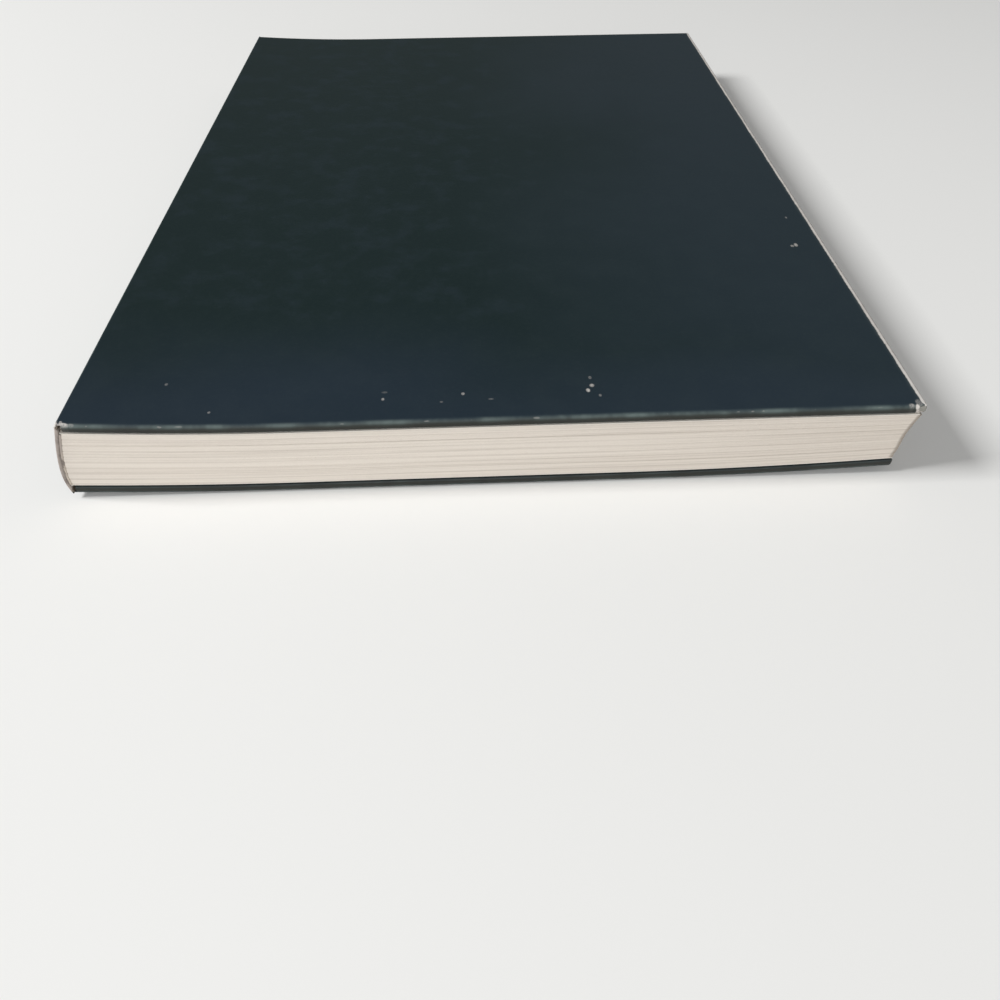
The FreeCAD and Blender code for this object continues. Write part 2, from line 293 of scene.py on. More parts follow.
def covering_material(shape, colours, name, spots=()):
    """Dark laminated paper: mottled, rubbed along its edges with a painted highlight there, and
    bare where it is worn off.
    """
    def paint(graph, place):
        x, y = graph.split(place)[:2]
        rub, worn, side, soil = map(graph.attribute, ("rub", "bare", "side", "soil"))
        broad = graph.noise(place, 14.0, 3.0)
        cloud = graph.noise(place, 110.0, 4.0, 0.6)
        fine = graph.noise(place, 900.0, 3.0, 0.6)
        grain = graph.noise(place, 3200.0, 2.0, 0.5)
        along = graph.noise(graph.stretch(place, 1.0, 0.35, 1.0), 320.0, 3.0, 0.6)
        # Bluer to the right, near the tail and in patches
        right = graph.ramp(x + (broad - 0.5) * 0.10, -0.02, 0.09)
        tail = 1.0 - graph.ramp(y + (broad - 0.5) * 0.05, -shape.half, -shape.half + 0.045)
        blue = graph.math("MAXIMUM", right * 0.6, tail * 0.85)
        blue = graph.math("MAXIMUM", blue, graph.ramp(cloud, 0.45, 0.7) * 0.28)
        colour = graph.mix(blue, colours.covering, colours.covering_blue)
        # Mottled print, a painted reflection of the pages and floor on the covers' sides, and
        # rubbed edges with a painted highlight
        lighter = right * 0.03 + graph.ramp(cloud, 0.35, 0.75) * 0.02
        lighter = lighter + graph.ramp(fine, 0.45, 0.8) * 0.02
        colour = graph.mix(lighter, colour, colours.rubbed_and_highlit)
        # The side mark brings in the painted reflection on the side faces
        colour = graph.mix(side * 0.85, colour, colours.side_reflection)
        patches = graph.noise(graph.stretch(place, 1.0, 1.0, 0.5), 130.0, 3.0, 0.6)
        # Rubbed edges: real wear and a painted highlight along the lit arris
        rub_highlight_share = rub * (graph.ramp(patches, 0.35, 0.68) * 0.72 + 0.22)
        colour = graph.mix(rub_highlight_share, colour, colours.rubbed_and_highlit)
        # Bare paper: ragged along the edges, in nicks and in scuffs on the outer face
        ragged = (fine - 0.5) * 0.5 + (along - 0.5) * 0.6
        bare = graph.ramp(worn + ragged, 0.36, 0.72)
        nicks = graph.ramp(rub * 0.5 + graph.noise(place, 520.0, 2.0) * 0.8,
                           0.98, 1.06)
        bare = graph.math("MAXIMUM", bare, nicks * 0.22)
        rough = (fine - 0.5) * 1.8 + (grain - 0.5) * 1.6
        upper = 1.0 - side * 0.9
        upper = graph.math("MULTIPLY", upper, graph.ramp(grain, 0.38, 0.62) * 0.7 + 0.6)
        for spot in spots:
            bare = graph.math("MAXIMUM", bare, mark(graph, x, y, spot, rough) * upper * spot[4])
        # It is grey where it is handled, with ingrained dirt
        paper = graph.mix(soil * (0.7 + patches * 0.6), colours.bare_paper,
                          colours.soiled_paper)
        dirt = graph.ramp(graph.noise(graph.stretch(place, 1.0, 1.0, 0.6), 460.0, 3.0, 0.6),
                          0.42, 0.72)
        paper = graph.mix(dirt * soil * 0.75, paper, colours.grime)
        colour = graph.mix(bare, colour, paper)
        roughness = 0.40 + cloud * 0.16 + rub_highlight_share * 0.15 + bare * 0.3
        height = fine * 0.35 + grain * 0.25 + cloud * 0.6 - bare * 1.2
        return colour, roughness, height, 0.04 * MM
    return new_material(name, paint, specular=0.16)


def page_material(colours):
    """Cut edges of cream leaves: a line for each leaf, darker between the gatherings with dust and
    painted shade.
    """
    def paint(graph, place):
        tone, crease, band, thumbed = map(graph.attribute,
                                          ("tone", "crease", "band", "thumbed"))
        x = graph.split(place)[0]
        long_wave = graph.noise(graph.stretch(place, 1.0, 1.0, 6.0), 45.0, 4.0, 0.6)
        fibre = graph.noise(graph.stretch(place, 1.0, 1.0, 4.0), 1500.0, 3.0, 0.6)
        patch = graph.noise(place, 18.0, 2.0)
        # Darker between gatherings, with dust and painted shade in the gaps, on darker leaves, in
        # bands and towards the right
        dust_and_shade = crease * (0.08 + long_wave * 0.40) + (1.0 - tone) * 0.17 + band * 0.24
        dust_and_shade = dust_and_shade + graph.ramp(x + (patch - 0.5) * 0.06, -0.02, 0.10) * 0.16
        dust_and_shade = dust_and_shade + (fibre - 0.5) * 0.22
        colour = graph.mix(graph.clamp(dust_and_shade), colours.pages, colours.pages_dust_and_shade)
        # Browner on the fore-edge: painted shade
        colour = graph.mix(thumbed * (0.62 + long_wave * 0.5), colour, colours.thumbed)
        return colour, 0.86 + fibre * 0.1, fibre, 0.04 * MM
    return new_material("page_edges", paint, specular=0.2)


def paper_material(name, colour, shade, fibre_size=1.0):
    """Plain uncoated paper or board: cloudy, with fibres."""
    def paint(graph, place):
        cloud = graph.noise(place, 35.0, 4.0, 0.6)
        fibre = graph.noise(place, 1400.0 / fibre_size, 4.0, 0.7)
        speck = graph.ramp(graph.noise(place, 2600.0 / fibre_size, 2.0), 0.62, 0.74)
        dark = cloud * shade + (fibre - 0.5) * shade + speck * shade * 0.8
        low = tuple(channel * 0.62 for channel in colour)
        mixed = graph.mix(graph.clamp(dark), colour, low)
        return mixed, 0.82 + fibre * 0.12, fibre * 0.7 + cloud * 0.3, 0.03 * MM * fibre_size
    return new_material(name, paint, specular=0.25)


def gauze_material(colours):
    """Open cotton weave stiffened with glue."""
    def paint(graph, place):
        threads = [graph.add("ShaderNodeTexWave", {"bands_direction": axis, "wave_profile": "SIN"},
                             {"Vector": place, "Scale": 160.0, "Distortion": 0.6,
                              "Detail": 1.0, "Detail Scale": 2.0}, out="Fac")
                   for axis in ("Y", "Z")]
        weave = graph.math("MAXIMUM", threads[0], threads[1])
        fuzz = graph.noise(place, 900.0, 3.0, 0.6)
        colour = graph.mix(graph.ramp(weave + (fuzz - 0.5) * 0.4, 0.35, 0.8),
                           colours.glue, colours.gauze)
        return colour, 0.75 + fuzz * 0.15, weave * 0.8 + fuzz * 0.2, 0.08 * MM
    return new_material("gauze", paint, specular=0.3)


def glue_material(colours):
    """Old glue with torn paper in it: beige at the heel, grey with dirt at the shoulder."""
    def paint(graph, place):
        z = graph.split(place)[2]
        lumps = graph.noise(graph.stretch(place, 1.0, 1.0, 0.45), 800.0, 3.0, 0.6)
        fibre = graph.noise(place, 2400.0, 3.0, 0.6)
        upper = graph.ramp(z + (lumps - 0.5) * 0.006, 0.008, 0.014)
        colour = graph.mix(upper * 0.85, colours.glue, colours.soiled_paper)
        dark = graph.ramp(lumps + (fibre - 0.5) * 0.2, 0.52, 0.66)
        colour = graph.mix(dark * 0.7, colour, colours.grime)
        return colour, 0.78 + fibre * 0.14, lumps * 0.7 + fibre * 0.3, 0.05 * MM
    return new_material("spine_glue", paint, specular=0.25)


# ---- the book's curves -------------------------------------------------------------------
class Shape:
    """Curves that the pieces share, in metres, with X = 0 at the front hinge line and Z = 0
    on the table. Heights count from a cover's outer face towards the pages, and depths from
    the spine's outer face towards the fore-edge."""

    def __init__(self, sizes):
        s = sizes
        self.sizes = s
        self.origin_x = -FRONT_HINGE[0]
        self.back_x = BACK_HINGE[0] - FRONT_HINGE[0]
        self.half = s.cover_length / 2.0
        self.half_leaf = self.half - s.end_square
        self.board_in = s.covering_thickness + s.board_thickness
        self.core_in = self.board_in + s.covering_thickness
        self.cover_in = self.core_in + s.endpaper_thickness
        self.flyleaf_out = self.cover_in + s.cover_clearance
        self.page_face = self.flyleaf_out + s.endpaper_thickness
        self.tuck = s.covering_thickness + s.joint_clearance
        self.paper_wall = s.covering_thickness - GLUE_GAP
        self.paper_start = s.joint_width - PAPER_LAP
        self.turn_in_depth = s.covering_thickness + s.inlay_thickness
        self.lining_depth = self.turn_in_depth + s.covering_thickness
        self.page_depth = self.lining_depth + s.lining_thickness + s.gauze_thickness
        self.flat_from = self.back_x + s.rest_start
        self.flat_to = self.flat_from + s.rest_width
        swell = s.pages_at_spine - s.pages_at_middle
        pinch = s.pages_at_fore_edge - s.pages_at_middle
        self.hinge_x = {"front": 0.0, "back": self.back_x}
        self.level = {"front": 2.0 * self.page_face + s.pages_at_middle, "back": 0.0}
        self.spine_lift = {"front": s.back_spine_lift + swell, "back": s.back_spine_lift}
        self.fore_lift = {"front": s.back_fore_lift + pinch, "back": s.back_fore_lift}
        self.inward = {"front": -1.0, "back": 1.0}
        self.spine_top = self.level["front"] + self.spine_lift["front"]
        self.spine_bottom = s.back_spine_lift

    def curl(self, side):
        """Factors of the squared distances left and right of the flat zone."""
        hinge_x = self.hinge_x[side]
        left = self.spine_lift[side] / (self.flat_from - hinge_x) ** 2
        right = self.fore_lift[side] / (hinge_x + self.sizes.cover_width - self.flat_to) ** 2
        return left, right

    def face(self, side, x, height=0.0):
        """Z of a cover's outer face at X, moved inwards by height."""
        left, right = self.curl(side)
        z = left * np.maximum(self.flat_from - x, 0.0) ** 2
        z = z + right * np.maximum(x - self.flat_to, 0.0) ** 2
        return self.level[side] + z + self.inward[side] * height

    def spine(self, t, depth=0.0):
        """X and Z of the spine's outline, with t from 0 at the heel to 1 at the shoulder."""
        s = self.sizes
        top = -s.shoulder_overhang
        bottom = self.back_x - s.heel_overhang
        rise = self.spine_top - self.spine_bottom
        poles = [(bottom, 0.0), (bottom + 0.20 * (top - bottom) - s.lower_bulge, 0.20),
                 (bottom + 0.66 * (top - bottom) - s.upper_bulge, 0.66), (top, 1.0)]
        weights = [(1.0 - t) ** 3, 3.0 * t * (1.0 - t) ** 2, 3.0 * t ** 2 * (1.0 - t), t ** 3]
        x = sum(w * pole[0] for w, pole in zip(weights, poles))
        z = sum(w * pole[1] for w, pole in zip(weights, poles))
        return x + depth, self.spine_bottom + rise * z

    def spine_x(self, z, depth=0.0):
        """X of the spine's outline at a height Z."""
        x, heights = self.spine(np.linspace(0.0, 1.0, 400), depth)
        return np.interp(z, heights, x)

    def page_heights(self, count, front_x=0.0, margin=0.0):
        """Heights from the lowest leaves to the topmost ones, along their folds."""
        low = self.face("back", FOLD_LINE, self.page_face) + margin
        high = self.face("front", front_x, self.page_face) - margin
        return np.linspace(low, high, count)

    def placed(self, points):
        """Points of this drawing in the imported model's frame."""
        points = np.array(points, float).reshape(-1, 3)
        points[:, 0] -= self.origin_x
        return points


# ---- meshes ------------------------------------------------------------------------------
def grid(rows, columns, first=0):
    """Quads of a grid of points that are stored row by row."""
    return [(first + r * columns + c, first + r * columns + c + 1,
             first + (r + 1) * columns + c + 1, first + (r + 1) * columns + c)
            for r in range(rows - 1) for c in range(columns - 1)]


def new_mesh(name, points, faces, up=None, attributes=None, torn=None, close=False):
    """A mesh with its doubles merged and its faces turned one way. up is the direction that
    most of it looks in, torn says how far inside a missing bit a place is, and close
    fills its holes."""
    bm = bmesh.new()
    layers = {key: bm.verts.layers.float.new(key) for key in (attributes or {})}
    corners = [bm.verts.new(point) for point in points]
    for key, layer in layers.items():
        for corner, value in zip(corners, attributes[key]):
            corner[layer] = value
    for face in faces:
        bm.faces.new([corners[index] for index in face])
    bmesh.ops.remove_doubles(bm, verts=bm.verts, dist=MERGE)
    if close:
        bmesh.ops.holes_fill(bm, edges=[e for e in bm.edges if e.is_boundary], sides=0)
    bmesh.ops.recalc_face_normals(bm, faces=bm.faces)
    if up is not None:
        facing = sum((face.normal * face.calc_area() for face in bm.faces), Vector())
        if facing.dot(Vector(up)) < 0.0:
            bmesh.ops.reverse_faces(bm, faces=bm.faces)
    if torn is not None:
        gone = [face for face in bm.faces if torn(face.calc_center_median()) > 0.0]
        bmesh.ops.delete(bm, geom=gone, context="FACES")
        for corner in bm.verts:
            if corner.is_boundary and abs(torn(corner.co)) < 0.3:
                settle(corner, torn)
    mesh = bpy.data.meshes.new(name)
    bm.to_mesh(mesh)
    bm.free()
    return mesh


def settle(corner, torn):
    """Moves a corner of a torn edge to where torn is zero, so that the edge isn't stepped."""
    here = torn(corner.co)
    step = 0.01 * MM
    slope = Vector([(torn(corner.co + Vector(way) * step) - here) / step
                    for way in ((1, 0, 0), (0, 1, 0), (0, 0, 1))])
    corner.co -= slope * (here / max(slope.length_squared, 1.0))


def new_object(name, data):
    """An object at the origin with that mesh, curve, lamp or camera."""
    piece = bpy.data.objects.new(name, data)
    bpy.context.scene.collection.objects.link(piece)
    return piece


def evaluated(piece):
    """What a piece's modifiers make of it, as a plain mesh."""
    bpy.context.view_layer.update()
    return bpy.data.meshes.new_from_object(
        piece.evaluated_get(bpy.context.evaluated_depsgraph_get()))


def finish(piece, material, nodes=(), sharp=35.0):
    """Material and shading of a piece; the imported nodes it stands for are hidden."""
    mesh = piece.data
    mesh.materials.clear()
    mesh.materials.append(material)
    mesh.polygons.foreach_set("use_smooth", [True] * len(mesh.polygons))
    mesh.set_sharp_from_angle(angle=math.radians(sharp))
    if nodes:
        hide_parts(*nodes)
    return piece


def finished_sheet(mesh, thickness, material, nodes=()):
    """A sheet as a finished piece that is named like its mesh, with its thickness behind
    the side that its faces look to."""
    piece = new_object(mesh.name, mesh)
    solid = piece.modifiers.new("Thickness", "SOLIDIFY")
    solid.thickness = thickness
    solid.offset = -1.0
    solid.use_quality_normals = True
    made = evaluated(piece)
    piece.modifiers.clear()
    piece.data = made
    return finish(piece, material, nodes)


def sheet_mesh(name, shape, path, ys, up, shares=None):
    """A sheet that follows a path of (x, z) pairs and is straight along the book. shares
    says how much of the full length it has at each of them."""
    shares = shares or [1.0] * len(path)
    points = [(x, y * share, z) for y in ys for (x, z), share in zip(path, shares)]
    return new_mesh(name, shape.placed(points), grid(len(ys), len(path)), up)


def bent(start, corner, end, steps):
    """Points of a curve that leaves start towards corner and arrives at end from it."""
    curve = []
    for t in np.linspace(0.0, 1.0, steps):
        curve.append(tuple((1 - t) ** 2 * np.array(start) + 2 * t * (1 - t) * np.array(corner)
                           + t ** 2 * np.array(end)))
    return curve


# ---- covers ------------------------------------------------------------------------------
class Outline:
    """A cover from above: straight at the spine and blunt at its two fore corners. Its
    stations run from the spine along the tail, fore-edge and head back to the spine."""

    def __init__(self, shape, side, start, inset):
        s = shape.sizes
        self.side = side
        self.shape = shape
        self.x_from = shape.hinge_x[side] + start
        self.x_to = shape.hinge_x[side] + s.cover_width - inset
        self.half = shape.half - inset
        self.corner = s.corner_radius - inset
        wide = self.x_to - self.x_from
        long = 2.0 * self.half
        close_x = wide - 6.0 * MM       # stations lie close together from here to the edge
        close_y = 5.0 * MM              # and from the tail up to here
        columns = np.append(np.linspace(0.0, close_x, 32),
                            np.linspace(close_x, wide, 25)[1:]) / wide
        rows = np.append(np.linspace(0.0, close_y, 20),
                         np.linspace(close_y, long, 44)[1:]) / long
        turn = np.radians(np.linspace(0.0, 90.0, 9))[1:-1]
        quarter = math.pi / 2.0
        none = np.zeros(len(turn))
        self.columns, self.rows = columns, rows
        self.along = np.concatenate([columns, none + 1, rows * 0 + 1, none + 1, columns[::-1]])
        self.across = np.concatenate([columns * 0, none, rows, none + 1, columns * 0 + 1])
        self.angle = np.concatenate([columns * 0 - quarter, turn - quarter, rows * 0, turn,
                                     columns * 0 + quarter])
        self.count = len(self.along)
        path = np.cumsum(np.hypot(np.diff(self.along, prepend=0.0) * wide,
                                  np.diff(self.across, prepend=0.0) * long)) / MM
        phase = 0.0 if side == "front" else 2.1
        self.wobble = s.edge_wobble * (
            0.5 + 0.22 * np.sin(path / 11.3 + phase) + 0.16 * np.sin(path / 4.7 + 1.3 * phase)
            + 0.12 * np.sin(path / 23.9 + 0.7 + phase))

    def rounding(self, inset):
        """How far in and how far down the edge is rounded at each station. The back cover's
        fore-edge is rounder."""
        s = self.shape.sizes
        nose = np.cos(self.angle) ** 2
        more = 1.0 if self.side == "front" else 1.5
        return [s.end_radius + (reach * more - s.end_radius) * nose - inset
                for reach in (s.fore_edge_run, s.fore_edge_drop)]

    def plan(self, distance):
        """X and Y of every station, moved inwards by a distance."""
        fade = np.clip(1.0 - distance / FLAT_INSET, 0.0, 1.0)
        distance = distance + self.wobble * fade
        reach = np.maximum(self.corner, distance)
        bend = np.maximum(self.corner - distance, 0.0)
        x = self.x_from + self.along * (self.x_to - reach - self.x_from)
        y = -self.half + reach + self.across * (2.0 * self.half - 2.0 * reach)
        return x + bend * np.cos(self.angle), y + bend * np.sin(self.angle)

    def panel(self):
        """X and Y of the grid of the flat part, inside the stations."""
        x = self.x_from + self.columns * (self.x_to - FLAT_INSET - self.x_from)
        y = -self.half + FLAT_INSET + self.rows * (2.0 * self.half - 2.0 * FLAT_INSET)
        return x, y


def edge_profile(outline, thickness, inside, inset=0.0):
    """Rows of a wrapped edge, from the outer face round to the inner one: how far in and how
    high each is, how much it is rubbed and painted with a highlight, how much it is worn bare,
    and how much of a side it is."""
    none = np.zeros(outline.count)
    nose = np.cos(outline.angle) ** 2
    run, drop = outline.rounding(inset)
    # On the outer face: millimetres in, rubbing with a painted highlight, bareness
    rows = [(none + d * MM, none, nose * rub, nose * bare, none)
            for d, rub, bare in ((3.0, 0.0, 0.0), (2.2, 0.0, 0.0), (1.8, 0.05, 0.0),
                                 (1.5, 0.2, 0.22), (1.15, 0.5, 0.70))]
    # Round the outer edge: the rubbing peaks midway round, real wear with a painted highlight of
    # the lit arris
    for degrees in (0, 8, 16, 26, 38, 50, 62, 75, 90):
        angle = math.radians(degrees)
        rub = math.exp(-((degrees - 46.0) / 34.0) ** 2)
        bare = 1.0 if degrees < 70 else 0.75
        rows.append((run * (1 - math.sin(angle)), drop * (1 - math.cos(angle)),
                     none + rub, nose * bare, none + math.sin(angle) ** 3))
    # Down the side, round the inner edge and across the inner face
    lip_run, lip_drop = 0.5 * run, 0.5 * drop
    straight = thickness - drop - lip_drop
    rows += [(none, drop + share * straight, none + 0.05, nose * 0.6, none + 1.0)
             for share in (0.33, 0.67)]
    for degrees in (0, 22, 45, 68, 90):
        angle = math.radians(degrees)
        rub = 0.35 * math.exp(-((degrees - 45.0) / 22.0) ** 2)
        rows.append((lip_run * (1 - math.cos(angle)),
                     thickness - lip_drop + lip_drop * math.sin(angle),
                     none + rub, nose * rub, none + 1.0 - 0.4 * math.sin(angle)))
    rows += [(none + d, none + thickness, none, none, none + 0.3) for d in inside]
    return rows


def cover_points(outline, profile, flats):
    """Points and faces of the wrapped edges and of the flat parts inside them, which lie at
    the heights flats, and what the points of the edges are marked with."""
    points, marks = [], {"rub": [], "bare": [], "side": []}
    for distance, height, *levels in profile:
        x, y = outline.plan(distance)
        points += zip(x, y, outline.shape.face(outline.side, x, height))
        for key, level in zip(marks, levels):
            marks[key] += list(level)
    faces = grid(len(profile), outline.count)
    xs, ys = outline.panel()
    for height in flats:
        faces += grid(len(ys), len(xs), len(points))
        points += [(x, y, outline.shape.face(outline.side, x, height)) for y in ys for x in xs]
    return points, faces, marks


def joint_edge(outline, profile):
    """Y and height of the covering's edge at the joint, from tail to head, where it is one
    thickness of paper."""
    limit = outline.shape.sizes.covering_thickness
    head = [(-outline.plan(distance)[1][0], height[0])
            for distance, height, *levels in profile if height[0] <= limit]
    tail = [(-y, height) for y, height in head[::-1]]
    middle = [(y, 0.0) for y in outline.panel()[1][1:-1]]
    return tail + middle + head


def torn_corner(shape):
    """How far inside the worn-off bit of the front covering a place is, in millimetres. It
    is missing at the tail and fore-edge corner, below the outer face."""
    width = shape.sizes.cover_width
    corner = shape.placed([(width, -shape.half, 0.0)])[0]
    top = shape.face("front", width)

    def depth(place):
        side = (corner[0] - place.x) / MM
        back = (place.y - corner[1]) / MM
        down = (top - place.z) / MM
        # 2 mm of it are gone along the tail, and 1.7 mm along the fore-edge
        ragged = 0.14 * math.sin(5.2 * down) + 0.08 * math.sin(11.7 * down + 1.0)
        on_tail = min(2.00 + ragged - side, 1.0 - back)
        on_nose = min(1.0 - side, 1.7 + ragged - back)
        return min(max(on_tail, on_nose), down - 0.15 - 0.05 * math.sin(4.0 * side))
    return depth


def wear(outline, points, marks):
    """Adds the worn corners to what is bare, and says where bare paper is soiled. Places are
    in millimetres in from the fore-edge, tail and head and down from the front cover."""
    top = outline.shape.level["front"] / MM
    marks["soil"] = []
    for index, (x, y, z) in enumerate(points):
        side = (outline.x_to - x) / MM
        back = (y + outline.half) / MM
        ahead = (outline.half - y) / MM
        down = top - z / MM
        value = 0.70 - math.hypot(side, ahead) / 3.0
        soil = 0.35
        if outline.side == "front":
            # Round the torn corner, in a chip beside it and on the underside below it
            if side < 1.2 and back < 3.0:
                value = max(value, min(1.0, 2.4 - 2.0 * side))
            chip = math.hypot((side - 2.55 + 0.12 * down) / (0.85 - 0.2 * down), back / 1.5)
            value = max(value, 1.10 * (1.0 - chip) - 0.45 * max(down - 0.5, 0.0))
            under = min((down - 0.75) / 0.3, (2.9 - side) / 0.5, (2.4 - back) / 0.6, 1.0)
            value = max(value, 0.85 * under)
            # Away from the tail it is less bare and more soiled, and greyer along its outer rim
            marks["bare"][index] *= 0.88 + 0.12 * math.exp(-back / 40.0)
            soil = 0.12 + 0.22 * (1.0 - math.exp(-back / 14.0))
            soil += 0.75 * min(max((0.50 - side) / 0.35, 0.0), 1.0)
            if side > 1.3:
                soil += 0.25 * math.exp(-(back / 2.0) ** 2)
            if under > 0.0:
                soil = max(soil, 0.62)
        else:
            value = max(value, 0.60 - math.hypot(side, back) / 3.0)
            marks["bare"][index] *= 0.45
        marks["bare"][index] = max(marks["bare"][index], value)
        marks["soil"].append(soil)


# ---- operators ---------------------------------------------------------------------------
def read_settings(context):
    """The curves worked out from the scene's sizes, and the scene's colours."""
    return Shape(context.scene.book_sizes), context.scene.book_colours


def shared_material(name, make):
    """The material of that name, made the first time it is asked for."""
    return bpy.data.materials.get(name) or make()


class BOOK_OT_coverings(bpy.types.Operator):
    """Adds the dark paper round both boards, with its turned-in edges and worn corners"""
    bl_idname = "book.coverings"
    bl_label = "Add the coverings"

    def execute(self, context):
        shape, colours = read_settings(context)
        s = shape.sizes
        # Scuffs: millimetres from the hinge line and from the tail, half-sizes and strength
        places = [(110.0, 8.9, 0.38, 0.55, 0.70), (111.0, 10.6, 0.42, 0.50, 0.55),
                  (110.9, 13.4, 0.30, 0.45, 0.20), (112.4, 7.0, 0.28, 0.40, 0.22),
                  (173.1, 70.4, 0.42, 0.75, 0.60), (172.0, 69.9, 0.40, 0.50, 0.38),
                  (174.9, 86.3, 0.25, 0.50, 0.25), (65.9, 7.8, 0.28, 0.42, 0.38),
                  (66.1, 10.2, 0.55, 0.30, 0.14), (83.0, 8.9, 0.32, 0.40, 0.42),
                  (78.4, 6.3, 0.30, 0.25, 0.16), (89.0, 6.8, 0.50, 0.25, 0.14),
                  (18.6, 14.5, 0.30, 0.40, 0.18), (29.7, 4.7, 0.26, 0.30, 0.30),
                  (1.15, 0.45, 0.75, 0.40, 0.80), (1.80, 0.35, 0.45, 0.30, 0.62),
                  (0.45, 0.90, 0.40, 0.50, 0.66), (2.70, 0.40, 0.55, 0.30, 0.26),
                  (177.5, 0.45, 0.50, 0.50, 0.46), (179.3, 1.25, 0.60, 1.00, 0.26)]
        spots = [(x * MM - shape.origin_x, y * MM - shape.half, a * MM, b * MM, strength)
                 for x, y, a, b, strength in places]
        materials = {"front": covering_material(shape, colours, "covering_front", spots),
                     "back": covering_material(shape, colours, "covering_plain")}
        for side in SIDES:
            outline = Outline(shape, side, shape.paper_start, 0.0)
            inside = [2.0 * MM, FLAT_INSET, s.turn_in_width - 0.1 * MM, s.turn_in_width]
            profile = edge_profile(outline, shape.core_in, inside)
            points, faces, marks = cover_points(outline, profile, [0.0])
            edge = joint_edge(outline, profile)
            faces += grid(len(edge), 2, len(points))
            points += [(x, y, shape.face(side, x, height)) for y, height in edge
                       for x in (shape.hinge_x[side] + JOINT_STRIP[1] * MM, outline.x_from)]
            for levels in marks.values():
                levels += [0.0] * (len(points) - len(levels))
            wear(outline, points, marks)
            torn = torn_corner(shape) if side == "front" else None
            mesh = new_mesh(side + "_cover_paper", shape.placed(points), faces,
                            (0, 0, -shape.inward[side]), marks, torn)
            piece = finished_sheet(mesh, shape.paper_wall, materials[side],
                                   [side + "_covering"])
            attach(piece, side + "_cover")
        return {"FINISHED"}


class BOOK_OT_boards(bpy.types.Operator):
    """Adds the greyboards that stiffen both covers"""
    bl_idname = "book.boards"
    bl_label = "Add the boards"

    def execute(self, context):
        shape, colours = read_settings(context)
        s = shape.sizes
        material = paper_material("greyboard", colours.board, 0.5, 2.2)
        for side in SIDES:
            outline = Outline(shape, side, s.joint_width, s.covering_thickness)
            profile = edge_profile(outline, s.board_thickness, [FLAT_INSET],
                                   s.covering_thickness)
            profile = [(row[0], row[1] + s.covering_thickness) + row[2:] for row in profile]
            points, faces, _ = cover_points(outline, profile,
                                            [s.covering_thickness, shape.board_in])
            mesh = new_mesh(side + "_greyboard", shape.placed(points), faces, close=True)
            piece = new_object(side + "_greyboard", mesh)
            finish(piece, material, [side + "_board"])
            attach(piece, side + "_cover")
        return {"FINISHED"}


